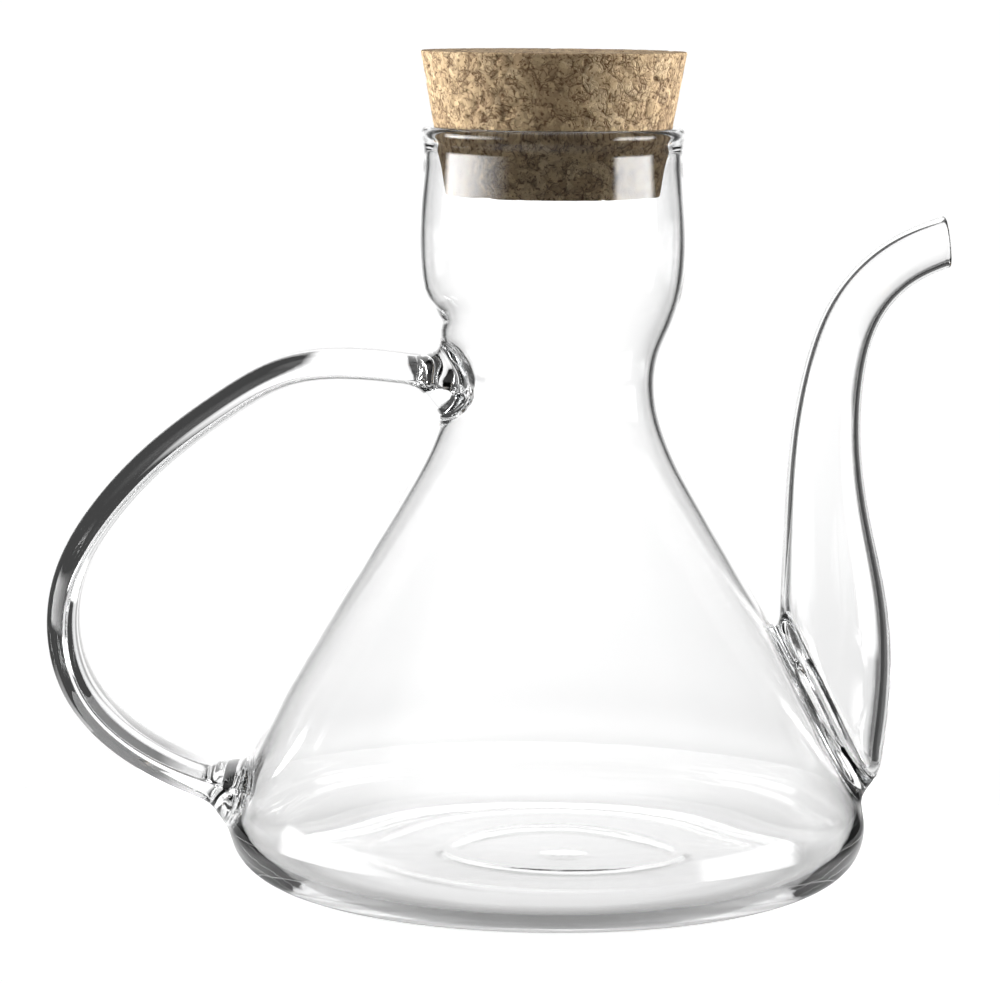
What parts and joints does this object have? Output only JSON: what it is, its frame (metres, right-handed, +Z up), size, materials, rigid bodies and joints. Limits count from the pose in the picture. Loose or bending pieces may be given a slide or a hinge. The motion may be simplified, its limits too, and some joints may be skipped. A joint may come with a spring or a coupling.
{
  "type": "glass oil pourer",
  "caption": "Clear glass oil pourer with a flask-shaped body, a curved pouring spout, a strap handle and a tapered cork stopper.",
  "frame": {"origin": "the middle of the whole length and width, at the level that the flask stands on", "axes": "+Z up, +X from the handle towards the spout, +Y away from the side that the picture shows"},
  "size_m": [0.1676, 0.12, 0.1542],
  "materials": {
    "glass": "clear lampworked borosilicate glass, fire polished",
    "cork": "pressed cork granules, sanded, matt"
  },
  "bodies": {
    "root": {"glass": "glass", "cork": "cork"}
  },
  "joints": []
}
